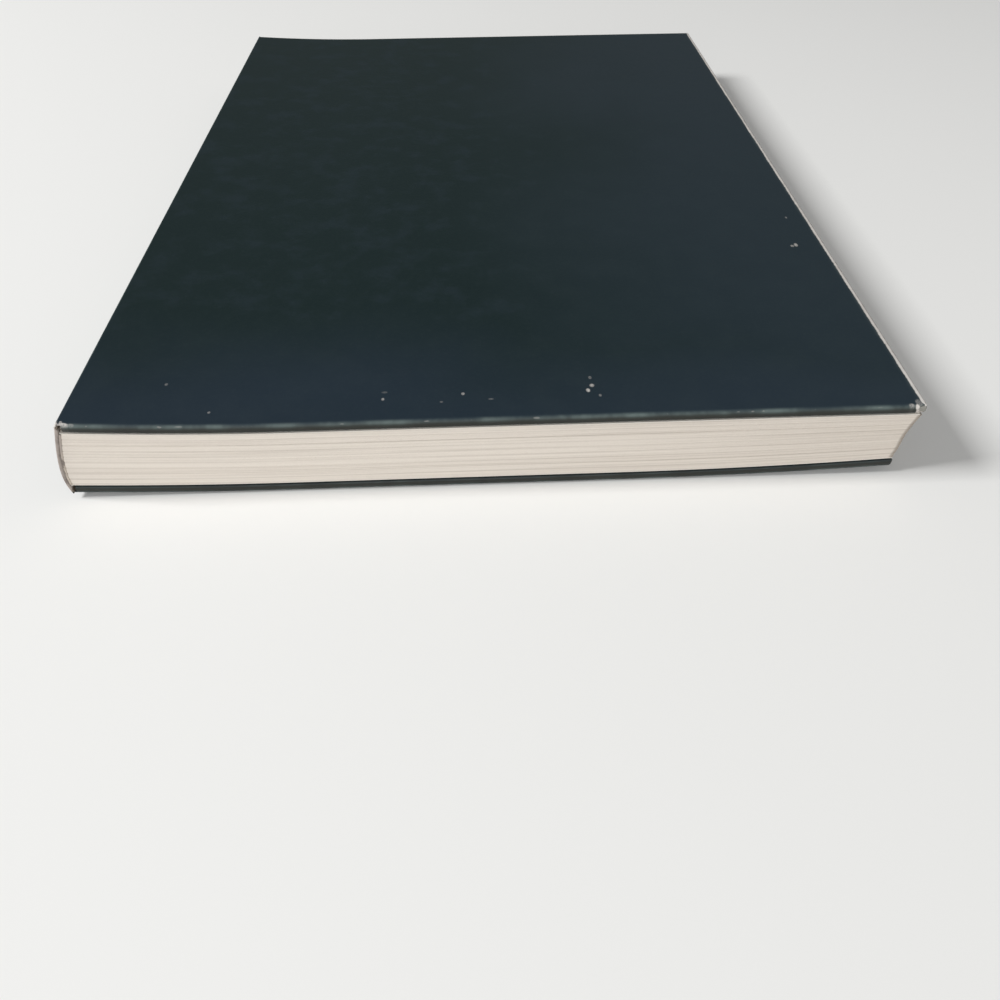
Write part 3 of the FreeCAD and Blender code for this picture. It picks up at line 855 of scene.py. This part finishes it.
class BOOK_OT_spine(bpy.types.Operator):
    """Adds the spine's covering with its folded ends, and the paper over both joints"""
    bl_idname = "book.spine"
    bl_label = "Add the spine"

    def outline(self, shape):
        """Outer outline from the front joint to the back joint: points, fold depths and the
        direction in which the fold goes in."""
        s = shape.sizes
        reach = 0.30 * MM       # rounding of the shoulder, over its top
        top = (-s.shoulder_overhang, shape.spine_top)
        low = (shape.back_x - s.heel_overhang, shape.spine_bottom)
        t = np.linspace(0.055, 0.988, 34)[::-1]
        x, z = shape.spine(t)
        side = list(zip(x, z))
        shoulder = bent((top[0] + reach, top[1]), top, side[0], 7)
        heel = bent(side[-1], low, (low[0] + 0.05 * MM, low[1]), 9)
        lip = [(-0.10 * MM, shape.spine_top)]
        foot = [(shape.back_x - 0.10 * MM, shape.spine_bottom)]
        path = lip + shoulder[:-1] + side + heel[1:] + foot
        depths, ways = [], []
        shallow = 0.42 * MM     # depth of the fold at the spine's two long edges
        edge = 1.6 * MM         # how far from them it reaches its full depth
        for x, z in path:
            down = min(max((shape.spine_top - z) / edge, 0.0), 1.0)
            up = min(max((z - shape.spine_bottom) / edge, 0.0), 1.0)
            share = min(down, up)
            depths.append(shallow + share * (shape.lining_depth - shallow))
            tilt = (1.0 - share) * (-1.0 if down < up else 1.0) * math.pi / 2
            ways.append((math.cos(tilt), math.sin(tilt)))
        return path, depths, ways

    def execute(self, context):
        shape, colours = read_settings(context)
        s = shape.sizes
        material = shared_material("covering_plain",
                                   lambda: covering_material(shape, colours, "covering_plain"))
        path, depths, ways = self.outline(shape)
        half = shape.half
        # Rows of the turned-in end: how far from the end, the angle of the fold and the rubbing
        rows_in = [(s.turn_in_width, math.pi, 0.0), (8.0 * MM, math.pi, 0.0),
                   (3.0 * MM, math.pi, 0.85)]
        rows_fold = [(None, angle, min(1.0, 0.35 + angle / 1.2))
                     for angle in np.radians([180, 155, 130, 110, 90, 70, 50, 25, 0])]
        rows_out = [(2.0 * MM, 0.0, 0.25), (5.0 * MM, 0.0, 0.0), (12.0 * MM, 0.0, 0.0)]
        steps = rows_in + rows_fold + rows_out

        def end_rows(end):
            """Rows at one end, from the turn-in's edge round the fold to the outer face."""
            rows = []
            for distance, angle, rub in steps:
                row = []
                for (x, z), depth, way in zip(path, depths, ways):
                    y = distance or depth / 2.0 * (1 - math.sin(angle))
                    inward = depth / 2.0 * (1 - math.cos(angle))
                    row.append((x + way[0] * inward, end * (half - y), z + way[1] * inward))
                rows.append(row)
            return rows

        middle = [[(x, y, z) for x, z in path] for y in np.linspace(-half, half, 24)[2:-2]]
        rows = end_rows(-1.0) + middle + end_rows(1.0)[::-1]
        rubs = [rub for distance, angle, rub in steps]
        rubs = rubs + [0.0] * len(middle) + rubs[::-1]
        last = len(path) - 1
        # It is rubbed along both long edges, and its ends are less bare towards the heel
        edge_rub = [max(0.8 * math.exp(-(i - 4.0) ** 2 / 6.0),
                        0.5 * math.exp(-(last - 4.0 - i) ** 2 / 6.0)) for i in range(last + 1)]
        keep = [min(1.0, 0.10 + (last - i) / 10.0) for i in range(last + 1)]
        marks = {key: [] for key in ("rub", "bare", "side", "soil")}
        for row, rub in zip(rows, rubs):
            for i, (x, y, z) in enumerate(row):
                chip = math.exp(-((y + half) / FRAY) ** 2) if i < 7 else 0.0
                marks["rub"].append(min(1.0, max(rub, edge_rub[i])))
                marks["bare"].append(max(0.9 * rub * keep[i], chip))
                # The rubbed fold takes some of the side colour, a painted reflection
                marks["side"].append(0.5 * rub)
                marks["soil"].append(1.0 - 0.7 * chip)
        points = [point for row in rows for point in row]
        mesh = new_mesh("spine_paper", shape.placed(points), grid(len(rows), len(path)),
                        (-1, 0, 0), marks)
        piece = finished_sheet(mesh, shape.paper_wall, material,
                               ["spine_covering"])
        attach(piece, "block")
        for side in SIDES:
            self.joint(shape, side, material)
        return {"FINISHED"}

    def joint(self, shape, side, material):
        """Paper over one joint."""
        hinge_x = shape.hinge_x[side]
        outline = Outline(shape, side, shape.paper_start, 0.0)
        edge = joint_edge(outline, edge_profile(outline, shape.core_in, []))
        xs = hinge_x + np.linspace(*JOINT_STRIP, 9) * MM
        points = [(x, y, shape.face(side, max(x, hinge_x), height))
                  for y, height in edge for x in xs]
        marks = {key: [0.0] * len(points) for key in ("rub", "side", "bare")}
        marks["soil"] = [0.45] * len(points)
        if side == "front":
            marks["bare"] = [0.75 * math.exp(-((y + shape.half) / FRAY) ** 2)
                             for x, y, z in points]
        mesh = new_mesh(side + "_joint_paper", shape.placed(points), grid(len(edge), len(xs)),
                        (0, 0, -shape.inward[side]), marks)
        piece = finished_sheet(mesh, shape.paper_wall, material)
        x = hinge_x - shape.origin_x
        z = shape.face(side, hinge_x)
        x - 0.10 * MM
        x + 0.30 * MM
        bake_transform(piece)


class BOOK_OT_endpapers(bpy.types.Operator):
    """Adds the pastedowns, the flyleaves and the folds that join them"""
    bl_idname = "book.endpapers"
    bl_label = "Add the endpapers"

    def flyleaf(self, shape, side, material):
        """Free half: it lies on the pages and turns up into the joint."""
        s = shape.sizes
        way = shape.inward[side]
        depth = shape.lining_depth + s.endpaper_thickness
        z_tuck = shape.face(side, shape.hinge_x[side], shape.tuck)
        z_flat = shape.face(side, shape.spine_x(z_tuck, depth), shape.flyleaf_out)
        upright = [(shape.spine_x(z, depth), z)
                   for z in np.linspace(z_tuck, z_flat - way * 0.3 * MM, 6)]
        x_bend = shape.spine_x(z_flat, depth)
        x_run = x_bend + 0.3 * MM
        bend = bent(upright[-1], (x_bend, z_flat),
                    (x_run, shape.face(side, x_run, shape.flyleaf_out)), 6)
        z_end = z_flat
        for _ in range(2):
            x_end = shape.spine_x(z_end, shape.page_depth) + s.leaf_width
            z_end = shape.face(side, x_end, shape.flyleaf_out)
        flat = [(x, shape.face(side, x, shape.flyleaf_out))
                for x in np.linspace(x_run, x_end, 60)]
        path = upright + bend[1:-1] + flat
        ys = np.linspace(-shape.half_leaf, shape.half_leaf, 40)
        short = 1.0 - (1.2 if side == "front" else 2.0) * MM / shape.half_leaf
        shares = [short] * (len(upright) + 1) + [1.0] * (len(path) - len(upright) - 1)
        mesh = sheet_mesh(side + "_free_endpaper", shape, path, ys, (0, 0, -way), shares)
        piece = finished_sheet(mesh, s.endpaper_thickness - 0.5 * GLUE_GAP, material,
                               [side + "_flyleaf"])
        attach(piece, "block")
        return upright[0]

    def pastedown(self, shape, side, material):
        """Glued half: it steps over the turn-ins and the gauze."""
        s = shape.sizes
        way = shape.inward[side]
        hinge_x = shape.hinge_x[side]
        board_x = hinge_x + s.joint_width
        gauze_x = board_x + s.gauze_width
        turn_x = hinge_x + s.cover_width - s.turn_in_width
        end_x = hinge_x + s.cover_width - 0.90 * MM
        ramp = 0.45 * MM
        half = shape.half - s.endpaper_margin
        step_y = shape.half - s.turn_in_width
        gauze_y = step_y - s.gauze_gap
        low = shape.board_in + s.endpaper_thickness

        def smooth(value):
            value = np.clip(value, 0.0, 1.0)
            return value * value * (3.0 - 2.0 * value)

        def near(line):
            return line + np.array([-1.2, -0.8, -0.4, 0.0]) * ramp

        bend = 0.25 * MM
        inner_x = board_x - s.endpaper_thickness
        xs = np.unique(np.concatenate([
            np.linspace(inner_x + bend, gauze_x - 2.0 * MM, 14), near(gauze_x + 1.2 * ramp),
            np.linspace(gauze_x + 2.0 * MM, turn_x - 2.0 * MM, 40), near(turn_x),
            np.linspace(turn_x + 1.0 * MM, end_x, 8)]))
        outer = np.concatenate([near(gauze_y + 1.2 * ramp), near(step_y),
                                np.linspace(step_y + 1.0 * MM, half, 5)])
        inner = np.linspace(-gauze_y + 2.0 * MM, gauze_y - 2.0 * MM, 46)
        ys = np.unique(np.concatenate([-outer, inner, outer]))
        points = []
        for y in ys:
            over_end = smooth((abs(y) - step_y + ramp) / ramp)
            on_gauze = smooth((gauze_y + ramp - abs(y)) / ramp)
            column = [(inner_x, shape.tuck), (inner_x, 0.5 * (shape.tuck + low)),
                      (inner_x, low - 0.1 * MM)]
            for x in xs:
                over_turn = smooth((x - turn_x + ramp) / ramp)
                gauze = smooth((gauze_x + ramp - x) / ramp) * on_gauze
                rise = max(max(over_end, over_turn) * s.covering_thickness,
                           gauze * s.gauze_thickness)
                column.append((x, low + rise))
            points += [(x, y, shape.face(side, x, height)) for x, height in column]
        mesh = new_mesh(side + "_pasted_endpaper", shape.placed(points),
                        grid(len(ys), len(xs) + 3), (0, 0, way))
        piece = finished_sheet(mesh, s.endpaper_thickness - GLUE_GAP, material,
                               [side + "_pastedown"])
        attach(piece, side + "_cover")
        return inner_x, shape.face(side, inner_x, shape.tuck)

    def fold(self, shape, side, material, page_end, cover_end):
        """Fold in the joint between the two halves."""
        way = shape.inward[side]
        half = shape.half_leaf - (1.5 if side == "front" else 2.5) * MM
        middle = (0.5 * (page_end[0] + cover_end[0]),
                  0.5 * (page_end[1] + cover_end[1]) - way * 0.24 * MM)
        path = bent(page_end, middle, cover_end, 11)
        mesh = sheet_mesh(side + "_endpaper_fold", shape, path, np.linspace(-half, half, 40),
                          (0, 0, way))
        piece = finished_sheet(mesh, 0.06 * MM, material)
        start, end = shape.placed([(page_end[0], 0, page_end[1]),
                                   (cover_end[0], 0, page_end[1])])
        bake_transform(piece)

    def execute(self, context):
        shape, colours = read_settings(context)
        material = paper_material("endpaper", colours.endpaper, 0.16)
        for side in SIDES:
            page_end = self.flyleaf(shape, side, material)
            cover_end = self.pastedown(shape, side, material)
            self.fold(shape, side, material, page_end, cover_end)
        return {"FINISHED"}


def new_group(name, inputs):
    """A Geometry Nodes group with named inputs, as its graph and the wires of the inputs."""
    tree = bpy.data.node_groups.new(name, "GeometryNodeTree")
    for label, kind, default in inputs:
        socket = tree.interface.new_socket(name=label, in_out="INPUT", socket_type=kind)
        if default is not None:
            socket.default_value = default
    tree.interface.new_socket(name="Geometry", in_out="OUTPUT",
                              socket_type="NodeSocketGeometry")
    graph = Graph(tree)
    source = tree.nodes.new("NodeGroupInput")
    return graph, {label: Wire(graph, source.outputs[label]) for label, *_ in inputs}


def end_group(graph, geometry, material):
    """Makes a group's result real, gives it its material and puts it out."""
    geometry = graph.add("GeometryNodeRealizeInstances", None, {"Geometry": geometry})
    geometry = graph.add("GeometryNodeSetMaterial", None,
                         {"Geometry": geometry, "Material": material})
    graph.add("NodeGroupOutput", None, {"Geometry": geometry})
    return graph


def store(graph, geometry, name, value):
    """The geometry with a number stored on its points."""
    return graph.add("GeometryNodeStoreNamedAttribute",
                     {"data_type": "FLOAT", "domain": "POINT"},
                     {"Geometry": geometry, "Name": name, "Value": value})


def grow(name, source, graph, values):
    """Object that the group makes from a mesh or a curve, with the group's inputs set by
    their identifiers."""
    seed = new_object("seed", source)
    modifier = seed.modifiers.new(graph.tree.name, "NODES")
    modifier.node_group = graph.tree
    for socket in graph.tree.interface.items_tree:
        if socket.in_out == "INPUT" and socket.name in values:
            modifier[socket.identifier] = values[socket.name]
    made = evaluated(seed)
    bpy.data.objects.remove(seed)
    return new_object(name, made)


def leaf_mesh():
    """One leaf with X from 0 at the fold to 1 at the fore-edge, Y from -1 to 1 and Z from 0
    to 1. Its edges have points enough to follow the book's curves."""
    across = np.append(np.linspace(0.0, 0.992, 44), [0.9945, 0.9962, 0.9978, 1.0])
    along = np.linspace(-1.0, 1.0, 12)
    last, rows = len(across) - 1, len(along)
    ring = [(u, -1.0) for u in across] + [(1.0, v) for v in along[1:-1]]
    ring += [(u, 1.0) for u in across[::-1]] + [(0.0, v) for v in along[1:-1][::-1]]
    count = len(ring)
    points = [(u, v, w) for w in (0.0, 1.0) for u, v in ring]
    head = last + rows - 1
    faces = []
    for first, turn in ((0, -1), (count, 1)):
        strips = [[i, i + 1, head + last - i - 1, head + last - i] for i in range(1, last - 1)]
        strips.append([last - 1] + list(range(last, head + 2)))
        strips.append([0, 1, head + last - 1] + list(range(head + last, count)))
        faces += [[first + index for index in face][::turn] for face in strips]
    faces += [(i, (i + 1) % count, count + (i + 1) % count, count + i) for i in range(count)]
    mesh = bpy.data.meshes.new("leaf")
    mesh.from_pydata(points, [], faces)
    return mesh


class BOOK_OT_pages(bpy.types.Operator):
    """Adds the leaves, gathered and sewn, with their folds at the spine and their cut edges"""
    bl_idname = "book.pages"
    bl_label = "Add the pages"

    def group(self, shape):
        """Leaves that fill the space between the covers and follow the spine's curve."""
        graph, given = new_group("Leaves", [
            ("Leaf", "NodeSocketGeometry", None), ("Gatherings", "NodeSocketInt", 9),
            ("Leaves in a gathering", "NodeSocketInt", 16), ("Width", "NodeSocketFloat", 0.18),
            ("Half length", "NodeSocketFloat", 0.128), ("Fold depth", "NodeSocketFloat", 0.0003),
            ("Trim unevenness", "NodeSocketFloat", 0.00005), ("Wave", "NodeSocketFloat", 0.0001),
            ("Fore-edge bulge", "NodeSocketFloat", 0.0005), ("Seed", "NodeSocketInt", 7),
            ("Material", "NodeSocketMaterial", None)])
        total = given["Gatherings"] * given["Leaves in a gathering"]
        stack = graph.add("GeometryNodePoints", None, {"Count": total})
        stack = store(graph, stack, "leaf", graph.add("GeometryNodeInputIndex"))
        copies = graph.add("GeometryNodeInstanceOnPoints", None,
                           {"Points": stack, "Instance": given["Leaf"]})
        solid = graph.add("GeometryNodeRealizeInstances", None, {"Geometry": copies})
        leaf = graph.add("GeometryNodeInputNamedAttribute", {"data_type": "FLOAT"},
                         {"Name": "leaf"}, out="Attribute")
        u, v, w = graph.split(graph.add("GeometryNodeInputPosition"))
        count = given["Leaves in a gathering"]
        gathering = graph.math("FLOOR", (leaf + 0.5) / count)
        within = (leaf - gathering * count + w) / count
        off_centre = graph.math("ABSOLUTE", within * 2.0 - 1.0)

        def chance(shift, identity=leaf):
            return graph.add("FunctionNodeRandomValue", {"data_type": "FLOAT"},
                             {"Min": 0.0, "Max": 1.0, "ID": identity,
                              "Seed": given["Seed"] + shift}, out="Value")

        # Where each leaf lies in its gathering, and the gaps between the gatherings
        loose = graph.noise(graph.join(u * 9.0, v * 3.0, gathering * 5.3), 1.0, 2.0)
        gap = graph.ramp(loose, 0.50, 0.85) * 0.030 + 0.002
        share = (gathering + 0.5 + (within - 0.5) * (1.0 - gap)) / given["Gatherings"]
        # X from the fold to the fore-edge: a curve of the fourth degree stands for the spine's
        heights = shape.page_heights(60, -0.5 * MM)
        z_low, z_high = float(heights[0]), float(heights[-1])
        fit = np.polyfit(heights, shape.spine_x(heights, shape.page_depth), 4)
        z_spine = share * (z_high - z_low) + z_low
        x_spine = z_spine * 0.0 + float(fit[0])
        for factor in fit[1:]:
            x_spine = x_spine * z_spine + float(factor)
        fold = (off_centre ** 3.0) * given["Fold depth"]
        uneven = given["Trim unevenness"]
        x_fold = x_spine + fold + chance(3) * uneven * 0.5
        x_fore = x_spine + given["Width"] - uneven * (chance(5) + chance(6, gathering) * 0.8)
        swollen = graph.math("EXPONENT", ((share - 0.27) / 0.20) ** 2.0 * -1.0)
        x_fore = x_fore + swollen * given["Fore-edge bulge"]
        x = x_fold * (1.0 - u) + x_fore * u
        # Y up to the trimmed ends
        drift = graph.noise(graph.join(u * 14.0, v * 2.0, leaf * 0.35), 1.0, 2.0)
        back = uneven * (chance(1) * 0.55 + chance(2, gathering) * 0.9 + drift * 0.5)
        y = v * (given["Half length"] - back)
        # Z between the two covers' curves, with some waviness
        left = graph.math("MAXIMUM", shape.flat_from - x, 0.0) ** 2.0
        right = graph.math("MAXIMUM", x - shape.flat_to, 0.0) ** 2.0
        curls = {side: shape.curl(side) for side in SIDES}
        low = left * curls["back"][0] + right * curls["back"][1] + shape.page_face
        high = (left * curls["front"][0] + right * curls["front"][1]
                + (shape.level["front"] - shape.page_face))
        wander = graph.noise(graph.join(u * 5.0, v * 2.5, share * 2.6), 1.0, 3.0, 0.55)
        wander = (wander - 0.5) * 2.4 * given["Wave"] * (share * (1.0 - share) * 4.0)
        z = low + share * (high - low) + wander
        band = graph.ramp(graph.noise(graph.join(u * 2.5, v, leaf * 0.21 + 40.0), 1.0, 3.0),
                          0.42, 0.68)
        tone = chance(8) * 0.6 + chance(9, gathering) * 0.4
        # Band in the last half millimetre of each leaf, which the material browns as painted shade
        thumbed = graph.ramp(u, 0.9945, 0.9978)
        # crease is where the material darkens the leaves between gatherings with dust and painted
        # shade
        for name, value in (("tone", tone), ("crease", off_centre ** 5.0), ("band", band),
                            ("thumbed", thumbed)):
            solid = store(graph, solid, name, value)
        moved = graph.add("GeometryNodeSetPosition", None,
                          {"Geometry": solid,
                           "Position": graph.join(x - shape.origin_x, y, z)})
        return end_group(graph, moved, given["Material"])

    def execute(self, context):
        shape, colours = read_settings(context)
        s = shape.sizes
        material = page_material(colours)
        piece = grow("leaves", leaf_mesh(), self.group(shape), {
            "Gatherings": s.gatherings, "Leaves in a gathering": s.leaves,
            "Width": s.leaf_width, "Half length": shape.half_leaf,
            "Fold depth": s.fold_depth, "Trim unevenness": s.trim, "Wave": s.wave,
            "Fore-edge bulge": s.fore_edge_bulge,
            "Seed": s.seed, "Material": material})
        finish(piece, material, ["text_block"], sharp=30.0)
        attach(piece, "block")
        return {"FINISHED"}


class BOOK_OT_linings(bpy.types.Operator):
    """Adds the glue on the gatherings and finishes the spine's linings and the gauze"""
    bl_idname = "book.linings"
    bl_label = "Finish the linings"

    def group(self):
        """Uneven round beads of glue along lines."""
        graph, given = new_group("Glue", [
            ("Lines", "NodeSocketGeometry", None), ("Radius", "NodeSocketFloat", 0.0002),
            ("Unevenness", "NodeSocketFloat", 0.0001), ("Material", "NodeSocketMaterial", None)])
        round_section = graph.add("GeometryNodeCurvePrimitiveCircle", None,
                                  {"Resolution": 8, "Radius": given["Radius"]})
        tube = graph.add("GeometryNodeCurveToMesh", None,
                         {"Curve": given["Lines"], "Profile Curve": round_section,
                          "Fill Caps": True})
        place = graph.add("GeometryNodeInputPosition")
        lumps = graph.noise(place, 420.0, 2.0) - 0.5
        normal = graph.add("GeometryNodeInputNormal")
        push = graph.add("ShaderNodeVectorMath", {"operation": "SCALE"},
                         {0: normal, "Scale": lumps * given["Unevenness"]})
        tube = graph.add("GeometryNodeSetPosition", None, {"Geometry": tube, "Offset": push})
        return end_group(graph, tube, given["Material"])

    def execute(self, context):
        shape, colours = read_settings(context)
        s = shape.sizes
        gauze = gauze_material(colours)
        finishes = {"spine_inlay": paper_material("spine_card", colours.card, 0.5, 1.6),
                    "spine_lining": paper_material("kraft_paper", colours.kraft, 0.4, 1.3),
                    "spine_mull": gauze, "front_mull_flange": gauze, "back_mull_flange": gauze}
        for node, material in finishes.items():
            mesh = frame["nodes"][node].data
            mesh.materials.clear()
            mesh.materials.append(material)
        lines = bpy.data.curves.new("glue", "CURVE")
        lines.dimensions = "3D"
        reach = shape.half_leaf - 0.15 * MM
        ys = np.linspace(-reach, reach, 60)
        for z in shape.page_heights(s.gatherings + 1)[1:-1]:
            x = shape.spine_x(z, shape.page_depth) + 0.10 * MM - shape.origin_x
            spline = lines.splines.new("POLY")
            spline.points.add(len(ys) - 1)
            for point, y in zip(spline.points, ys):
                point.co = (x, y, z, 1.0)
        material = glue_material(colours)
        piece = grow("spine_glue", lines, self.group(), {
            "Radius": 0.17 * MM, "Unevenness": 0.12 * MM, "Material": material})
        finish(piece, material)
        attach(piece, "block")
        self.glued_ends(shape, material)
        return {"FINISHED"}

    def glued_ends(self, shape, material):
        """Glue on the backs of the gatherings, past both ends of the gauze."""
        s = shape.sizes
        gauze_end = shape.half - s.turn_in_width - s.gauze_gap + 0.3 * MM
        lining_end = shape.half_leaf - 0.45 * MM
        leaf_end = shape.half_leaf + 0.08 * MM
        heights = shape.page_heights(73, margin=0.1 * MM)
        on_lining = shape.lining_depth + s.lining_thickness + 0.01 * MM
        for name, start, end, depth in (
                ("glue_tail", -lining_end, -gauze_end, on_lining),
                ("glue_head", gauze_end, lining_end, on_lining),
                ("glue_tail_end", -leaf_end, -lining_end, shape.lining_depth + 0.02 * MM),
                ("glue_head_end", lining_end, leaf_end, shape.lining_depth + 0.02 * MM)):
            path = [(shape.spine_x(z, depth), z) for z in heights]
            mesh = sheet_mesh(name, shape, path, np.linspace(start, end, 12), (-1, 0, 0))
            piece = finished_sheet(mesh, shape.page_depth + 0.12 * MM - depth, material)
            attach(piece, "block")


class BOOK_OT_stage(bpy.types.Operator):
    """Adds the pale floor, the lamps and the camera"""
    bl_idname = "book.stage"
    bl_label = "Add the stage"

    def lamp(self, name, place, size, power):
        """A square area lamp that looks at the book."""
        light = bpy.data.lights.new(name, "AREA")
        light.size = size
        light.energy = power
        lamp = new_object(name, light)
        lamp.location = place
        lamp.rotation_euler = (-Vector(place)).to_track_quat("-Z", "Y").to_euler()

    def camera(self, shape):
        """The camera, near the tail and above the front cover."""
        # Turned right by yaw, down by pitch and about its own axis by roll
        yaw, pitch, roll = map(math.radians, (1.89, 44.37, -0.52))
        ahead = Vector((math.sin(yaw) * math.cos(pitch), math.cos(yaw) * math.cos(pitch),
                        -math.sin(pitch)))
        level_right = Vector((math.cos(yaw), -math.sin(yaw), 0.0))
        level_up = level_right.cross(ahead)
        right = math.cos(roll) * level_right + math.sin(roll) * level_up
        up = math.cos(roll) * level_up - math.sin(roll) * level_right
        camera = new_object("camera", bpy.data.cameras.new("camera"))
        camera.data.sensor_width = 36.0
        camera.data.lens = 30.6
        camera.data.clip_start = 0.005
        turned = Matrix((right, up, -ahead)).transposed()
        # Past the hinge line, in front of the tail and above the floor
        place = Vector((85.93 * MM - shape.origin_x, -137.89 * MM - shape.half, 130.14 * MM))
        camera.matrix_world = Matrix.Translation(place) @ turned.to_4x4()
        return camera

    def execute(self, context):
        shape, colours = read_settings(context)
        scene = context.scene
        reach = (-3.0, 3.0)
        points = [(x, y, 0.0) for y in reach for x in reach]
        floor = new_object("floor", new_mesh("floor", points, grid(2, 2), (0, 0, 1)))

        def paint(graph, place):
            cloud = graph.noise(place, 6.0, 2.0)
            low = tuple(channel * 0.985 for channel in colours.floor)
            colour = graph.mix(cloud, colours.floor, low)
            return colour, cloud * 0.1 + 0.8, cloud, 0.01 * MM

        floor.data.materials.append(new_material("pale_floor", paint, specular=0.1))

        self.lamp("key", (-1.80, -0.13, 1.50), 0.70, 48.0)
        self.lamp("front", (-0.20, -1.75, 0.95), 1.3, 19.0)

        world = bpy.data.worlds.new("studio")
        world.use_nodes = True
        background = world.node_tree.nodes["Background"]
        background.inputs["Color"].default_value = (1.0, 1.0, 1.0, 1.0)
        background.inputs["Strength"].default_value = 0.20
        scene.world = world
        scene.view_settings.view_transform = "Standard"
        scene.camera = self.camera(shape)
        return {"FINISHED"}


class BOOK_PT_panel(bpy.types.Panel):
    """Lists the book's steps in the sidebar"""
    bl_label = "Hardcover book"
    bl_idname = "BOOK_PT_panel"
    bl_space_type = "VIEW_3D"
    bl_region_type = "UI"
    bl_category = "Book"

    def draw(self, context):
        for step in STEPS:
            self.layout.operator(step.bl_idname)
        for settings in (context.scene.book_sizes, context.scene.book_colours):
            for name in settings.__annotations__:
                self.layout.prop(settings, name)


STEPS = (BOOK_OT_coverings, BOOK_OT_boards, BOOK_OT_spine, BOOK_OT_endpapers, BOOK_OT_pages,
         BOOK_OT_linings, BOOK_OT_stage)
CLASSES = (BookSizes, BookColours) + STEPS + (BOOK_PT_panel,)


def register():
    """Registers the classes and hangs the settings on the scene."""
    for cls in CLASSES:
        bpy.utils.register_class(cls)
    bpy.types.Scene.book_sizes = PointerProperty(type=BookSizes)
    bpy.types.Scene.book_colours = PointerProperty(type=BookColours)


def unregister():
    """Takes all of it away again."""
    del bpy.types.Scene.book_colours
    del bpy.types.Scene.book_sizes
    for cls in reversed(CLASSES):
        bpy.utils.unregister_class(cls)


def main():
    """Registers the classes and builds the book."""
    register()
    for step in STEPS:
        group, name = step.bl_idname.split(".")
        getattr(getattr(bpy.ops, group), name)()


if __name__ == "__main__":
    main()
